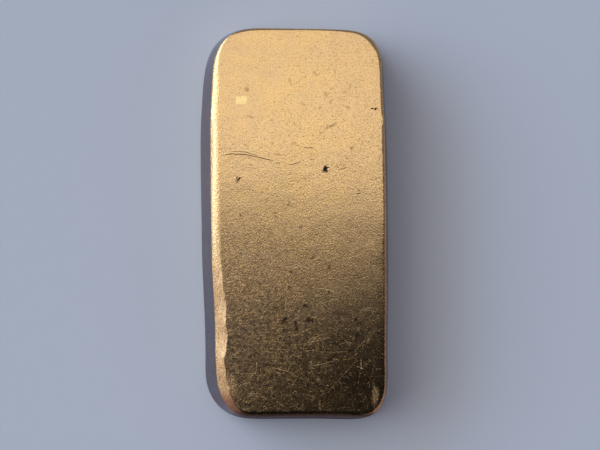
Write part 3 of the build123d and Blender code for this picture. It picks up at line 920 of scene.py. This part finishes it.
# the rounded left edge kept the mould's grain, the worn flat has rubbed streaks along it, the walls are uneven
cast_grain = n.math("MULTIPLY", n.math("SUBTRACT", n.noise(P, 5.5, 2.0, 0.6), 0.5), n.math("MULTIPLY", A_left, 0.050))
rubbed = n.noise(n.vmath("MULTIPLY", P, (11.0, 0.5, 11.0)), 1.0, 2.0, 0.6)
rubbed = n.math("MULTIPLY", n.math("SUBTRACT", rubbed, 0.5), n.math("MULTIPLY", A_flat, 0.058))
broken = n.noise(n.vmath("MULTIPLY", P, (2.0, 0.7, 1.0)), 5.0, 2.0, 0.65)
scuffed = n.math("MULTIPLY", A_scuff, n.ramp(broken, 0.44, 0.60))
scuffs = n.math("MULTIPLY", n.math("SUBTRACT", n.noise(P, 7.0, 2.0, 0.7), 0.5), n.math("MULTIPLY", A_scuff, 0.040))
cast_wall = n.math("MULTIPLY", n.math("SUBTRACT", n.noise(P, 1.3, 4.0, 0.6), 0.5), n.math("MULTIPLY", A_walls, 0.034))
height = n.math("ADD", n.math("ADD", height, n.math("ADD", cast_grain, rubbed)), n.math("ADD", scuffs, cast_wall))

# marks are broken up by the grain
bits = n.noise(P, 6.0, 2.0, 0.65)
torn_and_glint_bits = n.math("MULTIPLY", A_torn_and_glint, n.ramp(bits, 0.36, 0.58, 0.15, 1.0))
stain_bits = n.math("MULTIPLY", A_stain, n.ramp(bits, 0.62, 0.44, 0.25, 1.15), clamp=True)

# fine scratches every way, straight or slightly bent: long thin ones, then short nicks
warp = n.vmath("SUBTRACT", n.noise(P, 0.16, 0.0, 0.5, out="Color"), (0.5, 0.5, 0.5))
Q = n.vmath("ADD", P, n.vmath("SCALE", warp, scale=1.2))
level = n.math("MULTIPLY_ADD", A_wear, -0.055, n.math("MULTIPLY_ADD", P_x, 0.0030, 0.820))
level_end = n.math("ADD", level, 0.07)


def strokes(layers):
    every = None
    for turn, along, across in layers:
        turned = n.put(
            "ShaderNodeVectorRotate", {"Vector": Q, "Angle": math.radians(turn)}, rotation_type="Z_AXIS"
        ).outputs[0]
        moved = n.vmath("ADD", n.vmath("MULTIPLY", turned, (along, across, across * 0.7)), (turn * 0.71, turn * 0.37, 2.3))
        line = n.ramp(n.noise(moved, 1.0, 0.0, 0.5), level, level_end, kind="LINEAR")
        every = line if every is None else n.math("MAXIMUM", every, line)
    return every


long_lines = strokes([(12, 0.26, 13.0), (41, 0.30, 12.0), (66, 0.34, 13.0), (97, 0.26, 12.0), (131, 0.30, 13.0), (163, 0.28, 12.0)])
nicks = strokes([(52, 2.6, 11.0), (111, 2.2, 12.0), (4, 2.4, 11.0), (82, 2.8, 12.0), (150, 2.4, 11.0)])
dots = n.ramp(n.noise(P, 9.0, 0.0, 0.5), n.math("MULTIPLY_ADD", A_wear, -0.02, 0.790), n.math("MULTIPLY_ADD", A_wear, -0.02, 0.870), kind="LINEAR")
long_lines = n.math("MULTIPLY", long_lines, n.ramp(A_wear, 0.3, 0.8))
lines = n.math("MAXIMUM", long_lines, n.math("MULTIPLY", nicks, 0.8))
height = n.math("SUBTRACT", height, n.math("MULTIPLY", n.math("MULTIPLY", long_lines, leftward), 0.0015))
height = n.math("SUBTRACT", height, n.math("MULTIPLY", n.math("MULTIPLY", nicks, leftward), 0.0018))
height = n.math("SUBTRACT", height, n.math("MULTIPLY", n.math("MULTIPLY", dots, leftward), 0.0014))

# sparse pinholes
for scale, share, size, amount, near_share, seed in (
    (2.1, 0.30, 0.14, 0.006, 1.0, 0.0), (4.3, 0.22, 0.20, 0.003, 0.8, 5.0), (4.8, 0.32, 0.42, 0.0024, 0.0, 11.0),
):
    at = n.vmath("ADD", P, (seed, seed, seed))
    cell = n.put("ShaderNodeTexVoronoi", {"Vector": at, "Scale": scale, "Randomness": 1.0}, feature="F1")
    pick = n.put("ShaderNodeSeparateColor", {"Color": cell.outputs["Color"]})
    near = n.ramp(cell.outputs["Distance"], size * 0.4, size, 1.0, 0.0)
    some = n.math("LESS_THAN", pick.outputs["Red"], share)
    height = n.math("SUBTRACT", height, n.math("MULTIPLY", n.math("MULTIPLY", near, some), n.ramp(A_wear, 0.4, 0.9, amount, amount * near_share)))

bump = n.put("ShaderNodeBump", {"Strength": 1.0, "Distance": 0.001, "Height": height})

# colour
slow = n.noise(P, 0.35, 3.0, 0.55)
gold = n.mix(n.ramp(slow, 0.35, 0.65), (0.86, 0.56, 0.245, 1), (0.80, 0.535, 0.265, 1))
handled = n.math("ADD", n.math("ABSOLUTE", P_x), n.ramp(n.noise(P, 0.55, 3.0, 0.6), 0.3, 0.7, -3.2, 3.2))
gold = n.mix(n.math("MULTIPLY", n.ramp(handled, 2.0, 7.0), 0.55), gold, (0.76, 0.50, 0.265, 1))
veil = n.ramp(n.noise(P, 6.0, 1.0, 0.7), 0.36, 0.64)
gold = n.mix(n.math("MULTIPLY", veil, n.math("MULTIPLY_ADD", A_wear, 0.25, 0.55)), gold, (0.64, 0.41, 0.18, 1))
dull = n.math("MULTIPLY", n.ramp(n.noise(P, 8.0, 1.5, 0.6), 0.42, 0.60), n.math("MULTIPLY", n.ramp(A_wear, 0.30, 0.85, 0.0, 0.62), leftward), clamp=True)
gold = n.mix(dull, gold, (0.40, 0.262, 0.128, 1))
specks = n.noise(n.vmath("MULTIPLY", P, (0.55, 1.0, 1.0)), 6.0, 1.0, 0.55)
crowd = n.math("MULTIPLY_ADD", P_x, 0.018, n.noise(P, 0.45, 1.0, 0.5))
specks = n.math("MULTIPLY", n.ramp(specks, 0.60, 0.71), n.ramp(crowd, 0.34, 0.60))
gold = n.mix(n.math("MAXIMUM", n.math("MULTIPLY", specks, 0.65), stain_bits), gold, (0.33, 0.19, 0.08, 1))
# dark mottles on the far half, stronger to the right: painted shade standing in for the light and dark of a shallow
# relief
relief_painted_shade = n.ramp(n.noise(n.vmath("MULTIPLY", P, (0.75, 1.3, 1.0)), 2.6, 3.0, 0.68), 0.53, 0.70)
relief_painted_shade = n.math("MULTIPLY", relief_painted_shade, n.math("MULTIPLY", n.ramp(P_x, -5.0, 7.0, 0.14, 0.44), n.ramp(A_wear, 0.75, 0.35)))
gold = n.mix(relief_painted_shade, gold, (0.52, 0.32, 0.135, 1))
# scratches and torn marks painted paler gold: painted glints, stronger in the band from Y -12.5 to 3.5 between the
# bright and dark halves
mid_band_glints = n.math("MULTIPLY", lines, n.math("MULTIPLY", n.ramp(P_y, 3.5, -1.0), n.ramp(P_y, -12.5, -7.0)))
painted_glints = n.math("MULTIPLY_ADD", mid_band_glints, 0.14, n.math("MULTIPLY", lines, 0.24))
painted_glints = n.math("MAXIMUM", n.math("MULTIPLY", torn_and_glint_bits, 0.6), painted_glints, clamp=True)
gold = n.mix(painted_glints, gold, (0.97, 0.73, 0.40, 1))
black = n.math("MULTIPLY", stain_bits, n.ramp(P_y, -2.5, -4.0, 0.0, 0.80))
gold = n.mix(black, gold, (0.05, 0.037, 0.025, 1))
smudge = n.math("MULTIPLY", n.ramp(n.noise(P, 1.9, 3.0, 0.62), 0.52, 0.66), n.ramp(P_y, -5.0, -11.0))
gold = n.mix(n.math("MULTIPLY", smudge, 0.58), gold, (0.22, 0.15, 0.09, 1))
smudge = n.math("MULTIPLY", n.ramp(n.noise(P, 3.3, 2.0, 0.6), 0.50, 0.64), n.math("MULTIPLY", n.ramp(P_y, -3.0, -9.0), n.ramp(P_x, 4.0, -4.0)))
gold = n.mix(n.math("MULTIPLY", smudge, 0.60), gold, (0.19, 0.13, 0.075, 1))
# walls painted greyer and darker: painted shade for the dark surroundings they mirror
walls_painted_shade = n.math("MULTIPLY", n.ramp(n.noise(P, 2.7, 3.0, 0.62), 0.30, 0.70, 0.30, 0.52), A_walls)
gold = n.mix(walls_painted_shade, gold, (0.30, 0.25, 0.215, 1))
mottle = n.ramp(n.noise(P, 2.4, 3.0, 0.6), 0.25, 0.75, 0.55, 1.15)
patchy = n.ramp(n.noise(n.vmath("MULTIPLY", P, (2.6, 0.8, 2.6)), 2.4, 3.0, 0.65), 0.36, 0.62, 0.25, 0.95)
gold = n.mix(n.math("MULTIPLY", A_flat, patchy), gold, (0.62, 0.375, 0.19, 1))
# tarnish brown; on the near wall this brown is painted shade
brown = n.math("MULTIPLY", A_tarnish_and_painted_shade, mottle, clamp=True)
gold = n.mix(brown, gold, (0.45, 0.215, 0.12, 1))
# near-black in the pits, and on the near walls painted shade
gold = n.mix(A_pits_dark_and_painted_shade, gold, (0.05, 0.04, 0.035, 1))
# a paler rubbed spot near the far left corner
spot = n.vmath("SUBTRACT", P, (-5.91, 12.68, 6.85))
spot = n.put("ShaderNodeSeparateXYZ", {0: spot})
ragged = n.math("MULTIPLY_ADD", n.noise(P, 2.2, 2.0, 0.5), 0.35, -0.175)
inside_x = n.ramp(n.math("ADD", n.math("ABSOLUTE", spot.outputs[0]), ragged), 0.57, 0.49)
inside_y = n.ramp(n.math("ADD", n.math("ABSOLUTE", spot.outputs[1]), ragged), 0.45, 0.37)
inside_z = n.math("GREATER_THAN", spot.outputs[2], -0.3)
pale = n.math("MULTIPLY", n.math("MULTIPLY", inside_x, inside_y), inside_z)
gold = n.mix(pale, gold, (0.92, 0.67, 0.30, 1))

# roughness
rough = n.ramp(n.noise(P, 1.1, 4.0, 0.6), 0.3, 0.7, 0.095, 0.125)
flecks = n.ramp(n.noise(P, 8.0, 1.0, 0.6), 0.60, 0.72)
rough = n.math("ADD", rough, n.math("MULTIPLY", n.math("MULTIPLY", flecks, A_wear), 0.06))
rough = n.math("ADD", rough, n.math("MULTIPLY", lines, 0.075))
rough = n.math("ADD", rough, n.math("MULTIPLY", torn_and_glint_bits, 0.22))
rough = n.math("ADD", rough, n.math("MULTIPLY", scuffed, 0.30))
rough = n.math("ADD", rough, n.math("MULTIPLY", A_tarnish_and_painted_shade, 0.16))
rough = n.math("ADD", rough, n.math("MULTIPLY", A_pits_dark_and_painted_shade, 0.35))
rough = n.math("ADD", rough, n.math("MULTIPLY", A_flat, 0.04), clamp=True)

shader = n.put("ShaderNodeBsdfPrincipled", {"Base Color": gold, "Metallic": 1.0, "Specular Tint": (0.50, 0.54, 0.70, 1), "Roughness": rough, "Normal": bump.outputs[0]})
n.link(shader.outputs[0], n.put("ShaderNodeOutputMaterial").inputs[0])
mesh.materials.append(metal)

# ------------------------------------------------------------------------------------------------------------
# Floor
# ------------------------------------------------------------------------------------------------------------
floor_mesh = bpy.data.meshes.new("floor")
edge_at = 1.5
floor_mesh.from_pydata(
    [(-edge_at, -edge_at, 0), (edge_at, -edge_at, 0), (edge_at, edge_at, 0), (-edge_at, edge_at, 0)], [], [(0, 1, 2, 3)]
)
floor = bpy.data.objects.new("floor", floor_mesh)
bpy.context.scene.collection.objects.link(floor)
pale_floor = bpy.data.materials.new("pale_floor")
pale_floor.use_nodes = True
n = Nodes(pale_floor.node_tree)
cover = n.put("ShaderNodeBsdfPrincipled", {"Base Color": (0.65, 0.69, 0.79, 1), "Roughness": 0.85, "Specular IOR Level": 0.2})
n.link(cover.outputs[0], n.put("ShaderNodeOutputMaterial").inputs[0])
floor_mesh.materials.append(pale_floor)

# ------------------------------------------------------------------------------------------------------------
# Studio light, all soft: one wide panel overhead that ends a little on the far side of the camera, a tall
# window-like panel on the left, and a dim room
# ------------------------------------------------------------------------------------------------------------
world = bpy.data.worlds.new("studio")
bpy.context.scene.world = world
world.use_nodes = True
n = Nodes(world.node_tree)
way_in = n.put("ShaderNodeTexCoord").outputs["Generated"]
sx, sy, sz = n.put("ShaderNodeSeparateXYZ", {0: n.vmath("NORMALIZE", way_in)}).outputs
height_of = n.math("MAXIMUM", sz, 0.02)
u = n.math("DIVIDE", sx, height_of)
v = n.math("DIVIDE", sy, height_of)

zenith = n.math("MULTIPLY", n.math("ARCCOSINE", sz), 180 / math.pi)
azimuth = n.math("MULTIPLY", n.math("ARCTAN2", sy, n.math("MULTIPLY", sx, -1.0)), 180 / math.pi)  # 0 left, + far

# overhead panel: brightness over v, its near edge running askew
skew = n.math("ADD", n.ramp(u, 0.040, 0.095, 0.012, -0.030), n.ramp(u, 0.098, 0.122, 0.0, 0.026))
vv = n.math("ADD", v, n.math("MULTIPLY", skew, n.ramp(v, 0.01, -0.035)))
steps = [(-0.30, 0.010), (-0.125, 0.010), (-0.110, 0.013), (-0.0974, 0.021), (-0.086, 0.034), (-0.075, 0.053),
         (-0.0637, 0.088), (-0.052, 0.140), (-0.041, 0.195), (-0.03, 0.235), (-0.0187, 0.26), (-0.0075, 0.32),
         (0.0037, 0.36), (0.013, 0.52), (0.021, 0.92), (0.030, 1.30), (0.04, 1.42), (0.055, 1.34), (0.075, 1.19),
         (0.12, 1.07), (0.30, 0.97)]
stops = n.put("ShaderNodeValToRGB", {"Fac": n.ramp(vv, -0.30, 0.30, kind="LINEAR")})
cr = stops.color_ramp
cr.interpolation = "LINEAR"
cr.elements[0].position, cr.elements[1].position = 0.0, 1.0
for k, (at, level) in enumerate(steps):
    t = (at + 0.30) / 0.60
    if k == 0:
        e = cr.elements[0]
    elif k == len(steps) - 1:
        e = cr.elements[-1]
    else:
        e = cr.elements.new(t)
    e.color = (level, level, level, 1)
over = stops.outputs[0]
over_end = n.math("MULTIPLY", n.ramp(v, 0.65, 0.35), n.math("MULTIPLY", n.ramp(u, 0.42, 0.20), n.ramp(u, -1.15, -0.8)))
aside = n.math("MULTIPLY", n.ramp(u, 0.135, 0.20), n.ramp(v, 0.0, -0.03))
over = n.mix(n.math("MULTIPLY", aside, 0.75), over, (0.004, 0.004, 0.004, 1))
cool = n.put("ShaderNodeVectorMath", {0: over, 1: (1.0, 1.05, 1.40)}, operation="MULTIPLY").outputs[0]
over = n.mix(n.ramp(v, 0.012, -0.055), over, cool)
glow = n.math("MULTIPLY", n.ramp(u, 0.041, 0.013), n.math("MULTIPLY", n.ramp(v, -0.02, -0.07), n.ramp(v, -0.20, -0.14)))
over = n.mix(n.math("MULTIPLY", glow, 0.21), over, (1.0, 0.98, 1.1, 1))

# the dim room, by the way it faces
to_right = n.ramp(n.math("ABSOLUTE", azimuth), 60, 120)
to_far = n.ramp(azimuth, 30, 80)
to_near = n.ramp(azimuth, -45, -80)
room = n.math("ADD", 0.30, n.math("MULTIPLY", to_far, -0.06))
room = n.math("SUBTRACT", room, n.math("MULTIPLY", to_near, n.ramp(zenith, 92, 84, 0.20, 0.285)))
room = n.math("MAXIMUM", room, 0.015)
pink = n.math("MULTIPLY", room, n.math("MULTIPLY_ADD", n.math("MULTIPLY", to_right, n.ramp(azimuth, 60, 20)), -0.14, 1.0))
dim = n.put("ShaderNodeCombineColor", {"Red": room, "Green": pink, "Blue": n.math("MULTIPLY", room, 1.12)}).outputs[0]
right_near = n.math("MULTIPLY", n.ramp(azimuth, -105, -125), n.ramp(zenith, 46, 58))
dim = n.mix(n.math("MULTIPLY", right_near, n.ramp(azimuth, -100, -179, 0.75, 0.55)), dim, (0.72, 0.66, 0.84, 1))
base_light = n.mix(over_end, dim, over)

# window on the left
side_mask = n.math("MULTIPLY", n.ramp(azimuth, -36, -24), n.ramp(azimuth, 78, 55))
tall = n.math("MULTIPLY", n.ramp(zenith, 24, 34), n.ramp(zenith, 95, 88))
bright = n.math("MULTIPLY", n.ramp(zenith, 50, 56), n.ramp(zenith, 84, 74))
bright = n.math("MULTIPLY", bright, n.math("MULTIPLY", n.ramp(azimuth, -8, 2), n.ramp(azimuth, 62, 45)))
window = n.mix(n.math("MULTIPLY", side_mask, tall), base_light, (1.0, 1.0, 1.06, 1))
horizon = n.math("MULTIPLY", n.ramp(zenith, 72, 78), side_mask)
window = n.mix(horizon, window, (1.55, 1.42, 1.45, 1))
inner = n.math("MULTIPLY", n.ramp(zenith, 20, 28), n.math("MULTIPLY", n.ramp(zenith, 60, 52), n.ramp(azimuth, -8, 2)))
inner = n.math("MULTIPLY", inner, n.ramp(azimuth, 62, 45))
window = n.mix(inner, window, (1.65, 1.55, 1.25, 1))
window = n.mix(bright, window, (2.6, 3.4, 4.5, 1))
sky = n.put("ShaderNodeBackground", {"Color": window, "Strength": 1.0})
n.link(sky.outputs[0], n.put("ShaderNodeOutputWorld").inputs[0])
world.cycles.sampling_method = "MANUAL"
world.cycles.sample_map_resolution = 1024

# ------------------------------------------------------------------------------------------------------------
# Camera at the photograph's place: 137 mm above the face, 4 degrees off straight down
# ------------------------------------------------------------------------------------------------------------
lens = bpy.data.cameras.new("camera")
lens.sensor_width, lens.sensor_fit = 36.0, "HORIZONTAL"
lens.lens = 1335 * 36.0 / 600
lens.clip_start, lens.clip_end = 0.01, 10.0
camera = bpy.data.objects.new("camera", lens)
camera.location = (-0.00942, -0.000107, 0.14355)
camera.rotation_euler = (0.0, -math.radians(4.0), 0.0)
bpy.context.scene.collection.objects.link(camera)
bpy.context.scene.camera = camera
bpy.context.scene.view_settings.view_transform = "Standard"
bpy.context.scene.view_settings.look = "None"
